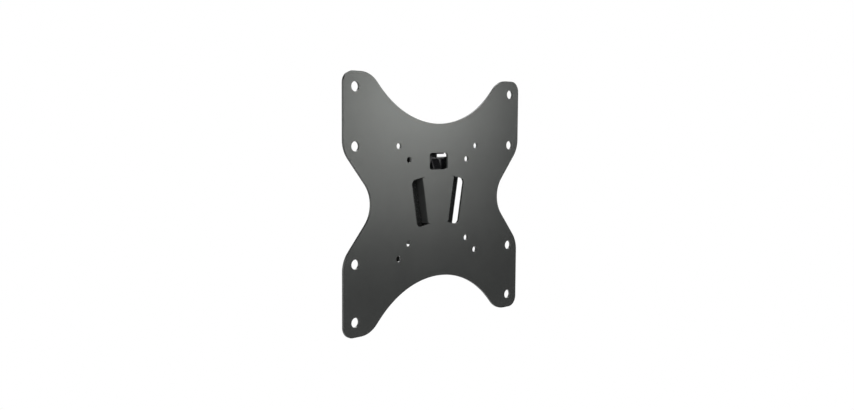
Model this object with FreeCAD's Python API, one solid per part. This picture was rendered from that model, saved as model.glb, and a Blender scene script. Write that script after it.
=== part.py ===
import FreeCAD, Part
import math
import os

# A wall mount for a flat screen: a screen plate with two hooked rails lanced out of its middle, a folded
# wall plate whose V channel takes those rails, and a spring catch that keeps the screen plate from lifting.
# Millimetres. +X is to the right seen from the room, +Y runs back to the wall, +Z is up.
# The origin is the centre of the hole pattern, on the screen plate's front face.

V = FreeCAD.Vector

# Screen plate
plate_half_width = 113.0
plate_half_height = 113.0
plate_thick = 2.0
plate_corner_radius = 10.3
arch_rise = 70.1
arch_radius = 99.0
arch_flank_angle = 46.7
arch_shoulder_radius = 24.5
waist_half_width = 82.3
waist_radius = 27.0
waist_flank_angle = 40.0
waist_shoulder_radius = 25.0

# Screw holes of the screen plate, on the usual square patterns
large_pattern_half = 100.0
large_row_half = 50.0
middle_pattern_half = 50.0
small_pattern_half = 37.5
large_hole_diameter = 8.6
small_hole_diameter = 5.5

# Catch window
window_width = 23.5
window_height = 15.2
window_centre_z = 35.9
window_corner_radius = 2.6

# Lanced rails and the slots that they leave
rail_half_gap = 16.95
rail_tilt_angle = 10.2
rail_length = 42.6
slot_width = 14.0
slot_corner_radius = 4.6
slot_end_clearance = 0.5
bend_inner_radius = 0.4
rail_front_radius = 0.6
rail_hook_reach = 4.7
rail_hook_corner_radius = 3.0

# Wall plate
wall_plate_thick = 2.0
wall_gap = 25.0
channel_face = 8.2
channel_lip_width = 15.3
channel_top = 39.0
channel_bottom = -40.1
rail_clearance = 0.3
channel_bend_radius = 0.5

# Ears of the wall plate, and their screw slots
top_ear_half_width = 20.8
top_ear_height = 25.0
bottom_ear_half_width = 33.0
bottom_ear_neck_half_width = 9.0
bottom_ear_neck_height = 5.4
bottom_ear_height = 19.0
ear_corner_radius = 6.0
ear_notch_radius = 2.0
wall_slot_width = 6.6
wall_slot_length = 16.0
wall_slot_half_spacing = 13.0
bottom_slot_drop = 9.3
top_slot_rise = 16.6

# Spring catch, moulded in one piece
catch_thick = 1.6
catch_face_width = 24.6
catch_foot_width = 18.0
catch_neck_width = 9.0
catch_grip_width = 35.2
catch_foot_length = 22.0
catch_rise = 17.0
catch_face_gap = 2.8
catch_face_height = 12.5
catch_face_top = 39.2
catch_bend_radius = 1.4
catch_corner_radius = 2.5
catch_shelf_depth = 4.7
catch_grip_rise = 2.9
catch_grip_height = 9.0
catch_grip_lean = 2.6
catch_nose_width = 10.6
catch_nose_reach = 1.2
catch_nose_drop = 0.9
catch_nose_clearance = 0.5
catch_nose_radius = 1.1

# Rivets of the catch
rivet_diameter = 4.0
rivet_head_diameter = 7.5
rivet_head_height = 1.6
rivet_half_spacing = 5.5
rivet_tail_diameter = 6.4

# How far a cutter runs past the faces that it cuts, and joined bodies into each other
overrun = 1.0
# Shorter lengths than this are left out of an outline
shortest = 1e-6


def flat_wire(corners, y=0.0):
    # A closed outline in a plane of constant y: straight sides joined by an arc at each corner, which is
    # given as (x, z, radius).
    count = len(corners)
    starts = []
    ends = []
    middles = []
    for i in range(count):
        x, z, radius = corners[i]
        here = V(x, y, z)
        before = V(corners[i - 1][0], y, corners[i - 1][1])
        after = V(corners[(i + 1) % count][0], y, corners[(i + 1) % count][1])
        to_before = (before - here).normalize()
        to_after = (after - here).normalize()
        half_angle = to_before.getAngle(to_after) / 2
        reach = radius / math.tan(half_angle)
        bisector = (to_before + to_after).normalize()
        starts.append(here + to_before * reach)
        ends.append(here + to_after * reach)
        middles.append(here + bisector * (radius / math.sin(half_angle) - radius))
    edges = []
    for i in range(count):
        if corners[i][2] > 0:
            edges.append(Part.Arc(starts[i], middles[i], ends[i]).toShape())
        following = starts[(i + 1) % count]
        if (following - ends[i]).Length > shortest:
            edges.append(Part.makeLine(ends[i], following))
    return Part.Wire(edges)


def slab(corners, y_front, y_back):
    return Part.Face(flat_wire(corners, y_front)).extrude(V(0, y_back - y_front, 0))


def hole(x, z, diameter, y_front, y_back):
    length = y_back - y_front + 2 * overrun
    return Part.makeCylinder(diameter / 2, length, V(x, y_front - overrun, z), V(0, 1, 0))


def round_slot(x, z, length, width, y_front, y_back):
    # A level slot with two half-round ends.
    half_straight = (length - width) / 2
    left = hole(x - half_straight, z, width, y_front, y_back)
    right = hole(x + half_straight, z, width, y_front, y_back)
    middle = slab(
        [
            (x - half_straight, z - width / 2, 0),
            (x + half_straight, z - width / 2, 0),
            (x + half_straight, z + width / 2, 0),
            (x - half_straight, z + width / 2, 0),
        ],
        y_front - overrun,
        y_back + overrun,
    )
    return middle.fuse([left, right]).removeSplitter()


def folded_strip(points, radius, thick, width):
    # A strip of sheet, width wide along X and centred on it, folded along the (y, z) points of its middle
    # line.
    path = []
    previous = V(0, *points[0])
    for i in range(1, len(points) - 1):
        here = V(0, *points[i])
        to_before = (V(0, *points[i - 1]) - here).normalize()
        to_after = (V(0, *points[i + 1]) - here).normalize()
        half_angle = to_before.getAngle(to_after) / 2
        reach = radius / math.tan(half_angle)
        bisector = (to_before + to_after).normalize()
        start = here + to_before * reach
        end = here + to_after * reach
        middle = here + bisector * (radius / math.sin(half_angle) - radius)
        path.append(Part.makeLine(previous, start))
        path.append(Part.Arc(start, middle, end).toShape())
        previous = end
    path.append(Part.makeLine(previous, V(0, *points[-1])))
    spine = Part.Wire(path)
    side_a = spine.makeOffset2D(thick / 2, openResult=True)
    side_b = spine.makeOffset2D(-thick / 2, openResult=True)
    ends_a = [side_a.OrderedVertexes[0].Point, side_a.OrderedVertexes[-1].Point]
    ends_b = [side_b.OrderedVertexes[0].Point, side_b.OrderedVertexes[-1].Point]
    caps = [Part.makeLine(ends_a[0], ends_b[0]), Part.makeLine(ends_a[1], ends_b[1])]
    outline = Part.Wire(Part.__sortEdges__(side_a.Edges + side_b.Edges + caps))
    strip = Part.Face(outline).extrude(V(width, 0, 0))
    strip.translate(V(-width / 2, 0, 0))
    return strip


def plate_outline():
    arch_angle = math.radians(arch_flank_angle)
    waist_angle = math.radians(waist_flank_angle)
    arch_z = arch_rise - arch_radius * (1 / math.cos(arch_angle) - 1)
    shoulder_x = (plate_half_height - arch_z) / math.tan(arch_angle)
    waist_x = waist_half_width - waist_radius * (1 / math.cos(waist_angle) - 1)
    shoulder_z = (plate_half_width - waist_x) / math.tan(waist_angle)
    upper_right = [
        (shoulder_x, plate_half_height, arch_shoulder_radius),
        (plate_half_width, plate_half_height, plate_corner_radius),
        (plate_half_width, shoulder_z, waist_shoulder_radius),
    ]
    lower_right = [(x, -z, radius) for x, z, radius in reversed(upper_right)]
    lower_left = [(-x, -z, radius) for x, z, radius in upper_right]
    upper_left = [(-x, z, radius) for x, z, radius in reversed(upper_right)]
    top = [(0, arch_z, arch_radius)]
    right = [(waist_x, 0, waist_radius)]
    bottom = [(0, -arch_z, arch_radius)]
    left = [(-waist_x, 0, waist_radius)]
    return top + upper_right + right + lower_right + bottom + lower_left + left + upper_left


def screw_holes():
    large = [(large_pattern_half, large_pattern_half), (large_pattern_half, large_row_half)]
    small = [(middle_pattern_half, middle_pattern_half), (small_pattern_half, small_pattern_half)]
    spots = [(x, z, large_hole_diameter) for x, z in large] + [(x, z, small_hole_diameter) for x, z in small]
    cutters = []
    for x, z, diameter in spots:
        for side_x in (-1, 1):
            for side_z in (-1, 1):
                cutters.append(hole(side_x * x, side_z * z, diameter, 0, plate_thick))
    return cutters


def place_on_rail(shape, side):
    # Turns a shape drawn for the right rail, whose bend line stands at x = 0, into its tilted place.
    placed = shape.copy()
    placed.rotate(V(0, 0, 0), V(0, 1, 0), rail_tilt_angle)
    placed.translate(V(rail_half_gap, 0, 0))
    if side < 0:
        placed = placed.mirror(V(0, 0, 0), V(1, 0, 0))
    return placed


def rail_slot():
    half = rail_length / 2 + slot_end_clearance
    back = bend_inner_radius + plate_thick
    corners = [
        (-back, half, 0),
        (slot_width, half, slot_corner_radius),
        (slot_width, -half, slot_corner_radius),
        (-back, -half, 0),
    ]
    return slab(corners, -overrun, plate_thick + overrun)


def hook_depth():
    # The front of the hook lies behind the lip of the channel, which carries it.
    return channel_face + wall_plate_thick + rail_clearance


def rail():
    # The lanced tab: back from the plate in a bend pressed sharp at the front, then outward in a round one,
    # as a hook.
    inner = bend_inner_radius
    outer = bend_inner_radius + plate_thick
    hook_front = hook_depth()
    hook_back = hook_front + plate_thick
    tip = rail_hook_reach
    root = [
        V(-outer, 0, 0),
        V(-outer, plate_thick, 0),
    ]
    diagonal = math.sqrt(0.5)
    front_centre = V(-rail_front_radius, rail_front_radius, 0)
    root_centre = V(-outer, outer, 0)
    hook_centre = V(inner, hook_front - inner, 0)
    edges = [
        Part.makeLine(root[1], root[0]),
        Part.makeLine(root[0], V(-rail_front_radius, 0, 0)),
        Part.Arc(
            V(-rail_front_radius, 0, 0),
            front_centre + V(rail_front_radius * diagonal, -rail_front_radius * diagonal, 0),
            V(0, rail_front_radius, 0),
        ).toShape(),
        Part.makeLine(V(0, rail_front_radius, 0), V(0, hook_front - inner, 0)),
        Part.Arc(
            V(0, hook_front - inner, 0),
            hook_centre + V(-inner * diagonal, inner * diagonal, 0),
            V(inner, hook_front, 0),
        ).toShape(),
        Part.makeLine(V(inner, hook_front, 0), V(tip, hook_front, 0)),
        Part.makeLine(V(tip, hook_front, 0), V(tip, hook_back, 0)),
        Part.makeLine(V(tip, hook_back, 0), V(inner, hook_back, 0)),
        Part.Arc(
            V(inner, hook_back, 0),
            hook_centre + V(-outer * diagonal, outer * diagonal, 0),
            V(-plate_thick, hook_front - inner, 0),
        ).toShape(),
        Part.makeLine(V(-plate_thick, hook_front - inner, 0), V(-plate_thick, outer, 0)),
        Part.Arc(
            V(-plate_thick, outer, 0),
            root_centre + V(inner * diagonal, -inner * diagonal, 0),
            root[1],
        ).toShape(),
    ]
    section = Part.Face(Part.Wire(edges))
    body = section.extrude(V(0, 0, rail_length))
    body.translate(V(0, 0, -rail_length / 2))
    trim = [
        (-outer - overrun, rail_length / 2, 0),
        (tip, rail_length / 2, rail_hook_corner_radius),
        (tip, -rail_length / 2, rail_hook_corner_radius),
        (-outer - overrun, -rail_length / 2, 0),
    ]
    return body.common(slab(trim, -overrun, hook_back + overrun))


def make_screen_plate():
    plate = slab(plate_outline(), 0, plate_thick)
    window = [
        (-window_width / 2, window_centre_z - window_height / 2, window_corner_radius),
        (window_width / 2, window_centre_z - window_height / 2, window_corner_radius),
        (window_width / 2, window_centre_z + window_height / 2, window_corner_radius),
        (-window_width / 2, window_centre_z + window_height / 2, window_corner_radius),
    ]
    cutters = screw_holes() + [slab(window, -overrun, plate_thick + overrun)]
    for side in (-1, 1):
        cutters.append(place_on_rail(rail_slot(), side))
    plate = plate.cut(cutters)
    rails = [place_on_rail(rail(), side) for side in (-1, 1)]
    return plate.fuse(rails).removeSplitter()


def channel_x(across, z):
    # The x, at height z, of a line that runs beside the right rail at a level distance across from its
    # bend line.
    return rail_half_gap + across + z * math.tan(math.radians(rail_tilt_angle))


def level(across):
    # A distance square to a rail, measured level along X.
    return across / math.cos(math.radians(rail_tilt_angle))


def channel_side():
    # One side of the channel, drawn at the right rail: edge of the web, side wall, and the lip that stands in
    # front of the hook and beside the rail.
    thick = wall_plate_thick
    inner = channel_bend_radius
    outer = inner + thick
    lip_edge = rail_clearance
    wall_out = lip_edge + channel_lip_width
    diagonal = math.sqrt(0.5)
    reach_in = wall_out - outer
    front = V(reach_in, channel_face + outer, 0)
    rear = V(reach_in, wall_gap - outer, 0)
    edges = [
        Part.makeLine(V(lip_edge, channel_face + thick, 0), V(lip_edge, channel_face, 0)),
        Part.makeLine(V(lip_edge, channel_face, 0), V(reach_in, channel_face, 0)),
        Part.Arc(
            V(reach_in, channel_face, 0),
            front + V(outer * diagonal, -outer * diagonal, 0),
            V(wall_out, channel_face + outer, 0),
        ).toShape(),
        Part.makeLine(V(wall_out, channel_face + outer, 0), V(wall_out, wall_gap - outer, 0)),
        Part.Arc(
            V(wall_out, wall_gap - outer, 0),
            rear + V(outer * diagonal, outer * diagonal, 0),
            V(reach_in, wall_gap, 0),
        ).toShape(),
        Part.makeLine(V(reach_in, wall_gap, 0), V(reach_in, wall_gap - thick, 0)),
        Part.Arc(
            V(reach_in, wall_gap - thick, 0),
            rear + V(inner * diagonal, inner * diagonal, 0),
            V(wall_out - thick, wall_gap - outer, 0),
        ).toShape(),
        Part.makeLine(V(wall_out - thick, wall_gap - outer, 0), V(wall_out - thick, channel_face + outer, 0)),
        Part.Arc(
            V(wall_out - thick, channel_face + outer, 0),
            front + V(inner * diagonal, -inner * diagonal, 0),
            V(reach_in, channel_face + thick, 0),
        ).toShape(),
        Part.makeLine(V(reach_in, channel_face + thick, 0), V(lip_edge, channel_face + thick, 0)),
    ]
    length = 2 * (channel_top - channel_bottom)
    side = Part.Face(Part.Wire(edges)).extrude(V(0, 0, length))
    side.translate(V(0, 0, -length / 2))
    return side


def make_wall_plate():
    web_front = wall_gap - wall_plate_thick
    edge = level(rail_clearance + channel_lip_width - channel_bend_radius - wall_plate_thick)
    web = slab(
        [
            (-channel_x(edge, channel_top), channel_top, 0),
            (channel_x(edge, channel_top), channel_top, 0),
            (channel_x(edge, channel_bottom), channel_bottom, 0),
            (-channel_x(edge, channel_bottom), channel_bottom, 0),
        ],
        web_front,
        wall_gap,
    )
    top_z = channel_top + top_ear_height
    top_ear = slab(
        [
            (-top_ear_half_width, top_z, ear_corner_radius),
            (top_ear_half_width, top_z, ear_corner_radius),
            (top_ear_half_width, channel_top - overrun, 0),
            (-top_ear_half_width, channel_top - overrun, 0),
        ],
        web_front,
        wall_gap,
    )
    neck_bottom = channel_bottom - bottom_ear_neck_height
    bottom_z = neck_bottom - bottom_ear_height
    neck = bottom_ear_neck_half_width
    bottom_ear = slab(
        [
            (-neck, channel_bottom + overrun, 0),
            (neck, channel_bottom + overrun, 0),
            (neck, neck_bottom, ear_notch_radius),
            (bottom_ear_half_width, neck_bottom, ear_corner_radius),
            (bottom_ear_half_width, bottom_z, ear_corner_radius),
            (-bottom_ear_half_width, bottom_z, ear_corner_radius),
            (-bottom_ear_half_width, neck_bottom, ear_corner_radius),
            (-neck, neck_bottom, ear_notch_radius),
        ],
        web_front,
        wall_gap,
    )
    reach = channel_x(edge, channel_top) + channel_lip_width
    band = Part.makeBox(2 * reach, wall_gap, channel_top - channel_bottom, V(-reach, 0, channel_bottom))
    sides = [place_on_rail(channel_side(), side).common(band) for side in (-1, 1)]
    body = web.fuse([top_ear, bottom_ear] + sides).removeSplitter()
    low = neck_bottom - bottom_slot_drop
    high = channel_top + top_slot_rise
    slots = [(-wall_slot_half_spacing, low), (wall_slot_half_spacing, low), (0, high)]
    cutters = [round_slot(x, z, wall_slot_length, wall_slot_width, web_front, wall_gap) for x, z in slots]
    return body.cut(cutters + rivet_shanks())


def catch_foot_bottom():
    return catch_face_top - catch_face_height - catch_rise - catch_foot_length


def rivet_height():
    return catch_foot_bottom() + catch_foot_length / 2


def rivet_shanks():
    # Straight shanks that end in a cone, sunk flush into the back of the wall plate.
    head_y = wall_gap - wall_plate_thick - catch_thick
    flare = (rivet_tail_diameter - rivet_diameter) / 2
    shanks = []
    for side in (-1, 1):
        x = side * rivet_half_spacing
        z = rivet_height()
        shank = Part.makeCylinder(rivet_diameter / 2, wall_gap - head_y, V(x, head_y, z), V(0, 1, 0))
        tail = Part.makeCone(
            rivet_diameter / 2, rivet_tail_diameter / 2, flare, V(x, wall_gap - flare, z), V(0, 1, 0)
        )
        shanks.append(shank.fuse(tail).removeSplitter())
    return shanks


def catch_nose(back_y):
    # A ramp that the screen plate pushes back on its way down. Its flat underside then keeps the plate
    # from lifting.
    left = -catch_nose_width / 2
    bottom = window_centre_z - window_height / 2 + catch_nose_clearance
    top = catch_face_top - catch_nose_drop
    tip_y = plate_thick - catch_nose_reach
    corners = [
        V(left, back_y, bottom),
        V(left, tip_y, bottom),
        V(left, plate_thick + catch_face_gap, top),
        V(left, back_y, top),
    ]
    nose = Part.Face(Part.makePolygon(corners + corners[:1])).extrude(V(catch_nose_width, 0, 0))
    ramp_middle = (corners[1].z + corners[2].z) / 2
    ramp_sides = []
    for edge in nose.Edges:
        centre = edge.CenterOfMass
        if centre.y < back_y and abs(centre.z - ramp_middle) < shortest:
            ramp_sides.append(edge)
    return nose.makeFillet(catch_nose_radius, ramp_sides)


def make_catch():
    # Foot on the web, riser, face behind the window, shelf, neck and thumb grip in one moulded strip, with a
    # nose on the face that stands in the window.
    half = catch_thick / 2
    foot_y = wall_gap - wall_plate_thick - half
    face_y = plate_thick + catch_face_gap + half
    grip_y = face_y + catch_shelf_depth
    face_bottom = catch_face_top - catch_face_height
    foot_bottom = catch_foot_bottom()
    foot_top = foot_bottom + catch_foot_length
    grip_bottom = catch_face_top + catch_grip_rise
    grip_top = grip_bottom + catch_grip_height
    points = [
        (foot_y, foot_bottom),
        (foot_y, foot_top),
        (face_y, face_bottom),
        (face_y, catch_face_top - half),
        (grip_y, catch_face_top - half),
        (grip_y + catch_grip_lean, grip_top),
    ]
    strip = folded_strip(points, catch_bend_radius, catch_thick, max(catch_face_width, catch_grip_width))
    right = [
        (catch_grip_width / 2, grip_top, catch_corner_radius),
        (catch_grip_width / 2, grip_bottom, catch_corner_radius / 2),
        (catch_neck_width / 2, grip_bottom, 0),
        (catch_neck_width / 2, catch_face_top, 0),
        (catch_face_width / 2, catch_face_top, 0),
        (catch_face_width / 2, face_bottom, 0),
        (catch_foot_width / 2, foot_top, 0),
        (catch_foot_width / 2, foot_bottom, catch_corner_radius),
    ]
    left = [(-x, z, radius) for x, z, radius in reversed(right)]
    strip = strip.common(slab(right + left, 0, wall_gap))
    return strip.fuse(catch_nose(face_y)).cut(rivet_shanks()).removeSplitter()


def make_rivets():
    head_y = wall_gap - wall_plate_thick - catch_thick
    head_radius = rivet_head_diameter / 2
    dome_radius = (head_radius**2 + rivet_head_height**2) / (2 * rivet_head_height)
    rivets = []
    for side, shank in zip((-1, 1), rivet_shanks()):
        x = side * rivet_half_spacing
        centre = V(x, head_y - rivet_head_height + dome_radius, rivet_height())
        block = Part.makeCylinder(head_radius, rivet_head_height, V(x, head_y, rivet_height()), V(0, -1, 0))
        rivets.append(shank.fuse(Part.makeSphere(dome_radius, centre).common(block)).removeSplitter())
    return Part.makeCompound(rivets)


def main():
    os.makedirs("parts", exist_ok=True)
    nodes = {
        "screen_plate": make_screen_plate(),
        "wall_plate": make_wall_plate(),
        "catch": make_catch(),
        "catch_rivets": make_rivets(),
    }
    for name, shape in nodes.items():
        shape.exportStep("parts/" + name + ".step")
        print(name, shape.isValid(), len(shape.Solids), round(shape.Volume), shape.BoundBox)


main()
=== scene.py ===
import math

import bmesh
import bpy
from mathutils import Matrix, Vector


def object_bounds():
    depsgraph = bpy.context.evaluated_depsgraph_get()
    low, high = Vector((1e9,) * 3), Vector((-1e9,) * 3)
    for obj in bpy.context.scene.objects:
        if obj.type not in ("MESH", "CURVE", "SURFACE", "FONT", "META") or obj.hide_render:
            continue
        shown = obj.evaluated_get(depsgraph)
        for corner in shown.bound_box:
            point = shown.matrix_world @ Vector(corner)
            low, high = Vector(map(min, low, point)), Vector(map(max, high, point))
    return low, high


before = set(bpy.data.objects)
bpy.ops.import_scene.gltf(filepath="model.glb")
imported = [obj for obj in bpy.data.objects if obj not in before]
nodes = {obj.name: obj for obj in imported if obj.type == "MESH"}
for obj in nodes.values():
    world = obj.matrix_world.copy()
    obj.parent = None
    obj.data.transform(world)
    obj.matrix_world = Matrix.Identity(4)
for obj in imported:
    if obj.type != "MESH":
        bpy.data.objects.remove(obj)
cad_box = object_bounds()

MM = 0.001
white = (1.0, 1.0, 1.0, 1.0)

# Camera, found from the sixteen screen holes of the plate
picture_width = 854
focal_pixels = 880.0
sensor_width = 36.0
near_clip = 0.01
camera_place = Vector((-577.7, -567.1, 60.5)) * MM
camera_yaw = math.radians(-44.78)
camera_pitch = math.radians(-4.60)
camera_roll = math.radians(-0.35)
upright = math.radians(90)

# Tint of the shine: the powder coat's is a little green
coat_sheen = (0.962, 1.0, 0.945)
neutral_sheen = (1.0, 1.0, 1.0)

# Noises of the skins: scale in waves per metre, detail, and the band in which their values lie
clouding_scale = 28.0
clouding_detail = 3.0
speckle_scale = 900.0
speckle_detail = 2.0
pebble_detail = 2.0
pebble_roughness = 0.6
ripple_coarseness = 5
ripple_detail = 1.0
noise_low = 0.3
noise_high = 0.7

# Bumps of the skins, with heights in metres, and samples of their rounded edges
ripple_strength = 0.03
ripple_height = 0.0004
pebble_strength = 0.2
pebble_height = 0.0001
edge_samples = 6

# Stage: a pale floor that keeps the shadow near the object and runs out into white
floor_drop = 0.42
floor_radius = 40.0
floor_sides = 96
floor_colour = (0.85, 0.85, 0.85, 1.0)
floor_roughness = 0.8
floor_glow = 0.12
shadow_radius = 0.5
white_radius = 1.0

# Surroundings: their level low down and high up, and the heights between which it changes
ground_level = 0.03
sky_level = 0.12
ground_height = -0.3
sky_height = 0.5

# White backdrop: the direction in which it lies, and the cosines between which it fades in
backdrop_direction = (math.sin(-camera_yaw), math.cos(-camera_yaw), 0.0)
backdrop_edge = 0.55
backdrop_full = 0.75


def new_material(name):
    material = bpy.data.materials.new(name)
    material.use_nodes = True
    tree = material.node_tree
    shader = tree.nodes["Principled BSDF"]
    return material, tree, shader


def add_node(tree, kind, **inputs):
    node = tree.nodes.new(kind)
    for name, value in inputs.items():
        node.inputs[name.replace("_", " ")].default_value = value
    return node


def noise(tree, place, scale, detail, roughness=0.5):
    node = add_node(tree, "ShaderNodeTexNoise", Scale=scale, Detail=detail, Roughness=roughness)
    tree.links.new(place, node.inputs["Vector"])
    return node.outputs["Fac"]


def between(tree, value, low, high, from_low=noise_low, from_high=noise_high):
    node = add_node(
        tree, "ShaderNodeMapRange", From_Min=from_low, From_Max=from_high, To_Min=low, To_Max=high
    )
    tree.links.new(value, node.inputs["Value"])
    return node.outputs["Result"]


def two_colours(tree, factor, dark, light):
    node = tree.nodes.new("ShaderNodeMix")
    node.data_type = "RGBA"
    node.inputs["A"].default_value = (*dark, 1.0)
    node.inputs["B"].default_value = (*light, 1.0)
    tree.links.new(factor, node.inputs["Factor"])
    return node.outputs["Result"]


def bump(tree, height, normal, strength, distance):
    node = add_node(tree, "ShaderNodeBump", Strength=strength, Distance=distance)
    tree.links.new(height, node.inputs["Height"])
    tree.links.new(normal, node.inputs["Normal"])
    return node.outputs["Normal"]


def arithmetic(tree, operation, first, second):
    node = tree.nodes.new("ShaderNodeMath")
    node.operation = operation
    tree.links.new(first, node.inputs[0])
    tree.links.new(second, node.inputs[1])
    return node.outputs["Value"]


def vector_arithmetic(tree, operation, first, second=(0.0, 0.0, 0.0)):
    node = tree.nodes.new("ShaderNodeVectorMath")
    node.operation = operation
    tree.links.new(first, node.inputs[0])
    node.inputs[1].default_value = second
    return node.outputs


def pebbled_skin(name, dark, light, sheen, smooth, rough, gloss, grain, edge_round):
    # A fine pebbled skin with faint clouding, whose gloss varies a little, and with softly rounded edges.
    # Its roughness lies between smooth and rough, and grain is the scale of its pebbles in waves per metre.
    material, tree, shader = new_material(name)
    place = tree.nodes.new("ShaderNodeTexCoord").outputs["Object"]
    clouding = noise(tree, place, clouding_scale, clouding_detail)
    speckle = noise(tree, place, speckle_scale, speckle_detail)
    pebbles = noise(tree, place, grain, pebble_detail, pebble_roughness)
    ripple = noise(tree, place, grain / ripple_coarseness, ripple_detail)
    colour = two_colours(tree, between(tree, clouding, 0.0, 1.0), dark, light)
    tree.links.new(colour, shader.inputs["Base Color"])
    tree.links.new(between(tree, speckle, smooth, rough), shader.inputs["Roughness"])
    shader.inputs["Specular IOR Level"].default_value = gloss
    shader.inputs["Specular Tint"].default_value = (*sheen, 1.0)
    edge = add_node(tree, "ShaderNodeBevel", Radius=edge_round)
    edge.samples = edge_samples
    rippled = bump(tree, ripple, edge.outputs["Normal"], ripple_strength, ripple_height)
    pebbled = bump(tree, pebbles, rippled, pebble_strength, pebble_height)
    tree.links.new(pebbled, shader.inputs["Normal"])
    return material


def dress(node, material):
    piece = nodes[node]
    piece.data.materials.clear()
    piece.data.materials.append(material)


def dress_screen_plate():
    coat = pebbled_skin(
        "screen_plate_powder_coat",
        dark=(0.0190, 0.0198, 0.0196),
        light=(0.0223, 0.0232, 0.0229),
        sheen=coat_sheen,
        smooth=0.235,
        rough=0.265,
        gloss=0.45,
        grain=2000.0,
        edge_round=0.0003,
    )
    dress("screen_plate", coat)


def dress_wall_plate():
    # A little blacker and rougher than the screen plate's coat; the blacker colour is partly painted shade,
    # darkening the wall plate where it lies in shadow behind the screen plate's slots.
    coat = pebbled_skin(
        "wall_plate_powder_coat",
        dark=(0.0120, 0.0125, 0.0123),
        light=(0.0145, 0.0151, 0.0149),
        sheen=coat_sheen,
        smooth=0.25,
        rough=0.28,
        gloss=0.40,
        grain=2000.0,
        edge_round=0.0003,
    )
    dress("wall_plate", coat)


def dress_catch():
    plastic = pebbled_skin(
        "catch_plastic",
        dark=(0.002, 0.002, 0.0025),
        light=(0.0035, 0.0035, 0.004),
        sheen=neutral_sheen,
        smooth=0.20,
        rough=0.28,
        gloss=0.20,
        grain=900.0,
        edge_round=0.0003,
    )
    dress("catch", plastic)


def dress_rivets():
    steel = pebbled_skin(
        "rivet_black_steel",
        dark=(0.02, 0.02, 0.021),
        light=(0.03, 0.03, 0.031),
        sheen=neutral_sheen,
        smooth=0.25,
        rough=0.35,
        gloss=0.5,
        grain=900.0,
        edge_round=0.0002,
    )
    dress("catch_rivets", steel)


def make_camera():
    data = bpy.data.cameras.new("camera")
    data.sensor_width = sensor_width
    data.lens = focal_pixels / picture_width * sensor_width
    data.clip_start = near_clip
    camera = bpy.data.objects.new("camera", data)
    turn = Matrix.Rotation(camera_yaw, 4, "Z") @ Matrix.Rotation(camera_pitch, 4, "X")
    turn = turn @ Matrix.Rotation(camera_roll, 4, "Y") @ Matrix.Rotation(upright, 4, "X")
    camera.matrix_world = Matrix.Translation(camera_place) @ turn
    bpy.context.scene.collection.objects.link(camera)
    bpy.context.scene.camera = camera


def white_seen(tree, direction):
    # 1 for the camera's rays, and for mirrored and transmitted rays that go back towards the backdrop.
    rays = tree.nodes.new("ShaderNodeLightPath").outputs
    facing = vector_arithmetic(tree, "DOT_PRODUCT", direction, backdrop_direction)["Value"]
    backdrop = between(tree, facing, 0.0, 1.0, backdrop_edge, backdrop_full)
    passed_on = arithmetic(tree, "MAXIMUM", rays["Is Glossy Ray"], rays["Is Transmission Ray"])
    sent_back = arithmetic(tree, "MULTIPLY", passed_on, backdrop)
    return arithmetic(tree, "MAXIMUM", rays["Is Camera Ray"], sent_back)


def floor_paper():
    # Matt paper that glows a little near the object and turns plain white farther out.
    material, tree, shader = new_material("floor_paper")
    place = tree.nodes.new("ShaderNodeTexCoord").outputs["Object"]
    level_place = vector_arithmetic(tree, "MULTIPLY", place, (1.0, 1.0, 0.0))["Vector"]
    distance = vector_arithmetic(tree, "LENGTH", level_place)["Value"]
    direction = vector_arithmetic(tree, "NORMALIZE", level_place)["Vector"]
    far = between(tree, distance, 0.0, 1.0, shadow_radius, white_radius)
    seen = white_seen(tree, direction)
    shader.inputs["Base Color"].default_value = floor_colour
    shader.inputs["Roughness"].default_value = floor_roughness
    shader.inputs["Specular IOR Level"].default_value = 0.0
    shader.inputs["Emission Color"].default_value = white
    tree.links.new(between(tree, seen, 0.0, floor_glow, 0.0, 1.0), shader.inputs["Emission Strength"])
    plain_white = add_node(tree, "ShaderNodeEmission", Color=white, Strength=1.0)
    mix = tree.nodes.new("ShaderNodeMixShader")
    tree.links.new(arithmetic(tree, "MULTIPLY", far, seen), mix.inputs["Fac"])
    tree.links.new(shader.outputs["BSDF"], mix.inputs[1])
    tree.links.new(plain_white.outputs["Emission"], mix.inputs[2])
    tree.links.new(mix.outputs["Shader"], tree.nodes["Material Output"].inputs["Surface"])
    return material


def make_floor():
    height = cad_box[0].z - floor_drop
    disc = bmesh.new()
    bmesh.ops.create_circle(disc, cap_ends=True, segments=floor_sides, radius=floor_radius)
    bmesh.ops.translate(disc, verts=disc.verts, vec=(0.0, 0.0, height))
    mesh = bpy.data.meshes.new("floor")
    disc.to_mesh(mesh)
    disc.free()
    mesh.materials.append(floor_paper())
    floor = bpy.data.objects.new("floor", mesh)
    bpy.context.scene.collection.objects.link(floor)


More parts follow.
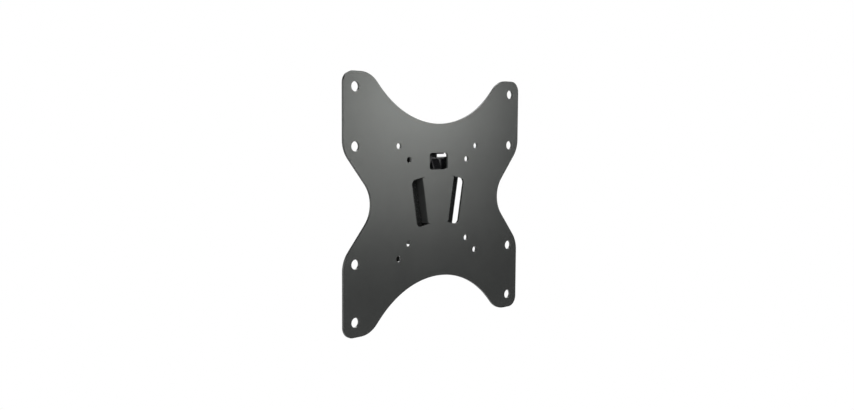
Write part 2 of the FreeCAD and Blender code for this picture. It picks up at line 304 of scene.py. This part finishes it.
def make_world():
    world = bpy.data.worlds.new("studio")
    world.use_nodes = True
    bpy.context.scene.world = world
    tree = world.node_tree
    background = tree.nodes["Background"]
    direction = tree.nodes.new("ShaderNodeTexCoord").outputs["Generated"]
    split = tree.nodes.new("ShaderNodeSeparateXYZ")
    tree.links.new(direction, split.inputs["Vector"])
    level = between(tree, split.outputs["Z"], ground_level, sky_level, ground_height, sky_height)
    strength = add_node(tree, "ShaderNodeMix", B=1.0)
    tree.links.new(white_seen(tree, direction), strength.inputs["Factor"])
    tree.links.new(level, strength.inputs["A"])
    tree.links.new(strength.outputs["Result"], background.inputs["Strength"])
    background.inputs["Color"].default_value = white


def softbox(name, azimuth, elevation, distance, width, height, power):
    # Azimuth 0 is straight in front of the plate and grows to the right, elevation is above the level.
    turn = math.radians(azimuth)
    rise = math.radians(elevation)
    place = Vector((math.sin(turn) * math.cos(rise), -math.cos(turn) * math.cos(rise), math.sin(rise)))
    data = bpy.data.lights.new(name, "AREA")
    data.shape = "RECTANGLE"
    data.size = width
    data.size_y = height
    data.energy = power
    lamp = bpy.data.objects.new(name, data)
    lamp.location = place * distance
    lamp.rotation_mode = "QUATERNION"
    lamp.rotation_quaternion = (-place).to_track_quat("-Z", "Y")
    lamp.visible_camera = False
    bpy.context.scene.collection.objects.link(lamp)


def make_lights():
    softbox("key_softbox", azimuth=42.4, elevation=7.0, distance=1.6, width=0.34, height=0.34, power=3.25)
    softbox("low_softbox", azimuth=33, elevation=-3.3, distance=1.6, width=0.86, height=0.2, power=1.85)
    softbox("top_softbox", azimuth=-20, elevation=50, distance=1.5, width=1.2, height=1.0, power=12)
    softbox("left_softbox", azimuth=-58, elevation=15, distance=1.6, width=0.8, height=0.8, power=18)
    softbox("right_softbox", azimuth=100, elevation=30, distance=1.6, width=0.8, height=0.8, power=8)
    softbox("back_softbox", azimuth=160, elevation=35, distance=1.6, width=1.0, height=1.0, power=8)
    softbox("rim_softbox", azimuth=-130, elevation=2, distance=1.6, width=0.9, height=1.2, power=6)


dress_screen_plate()
dress_wall_plate()
dress_catch()
dress_rivets()
make_camera()
make_floor()
make_world()
make_lights()
bpy.context.scene.view_settings.view_transform = "Standard"
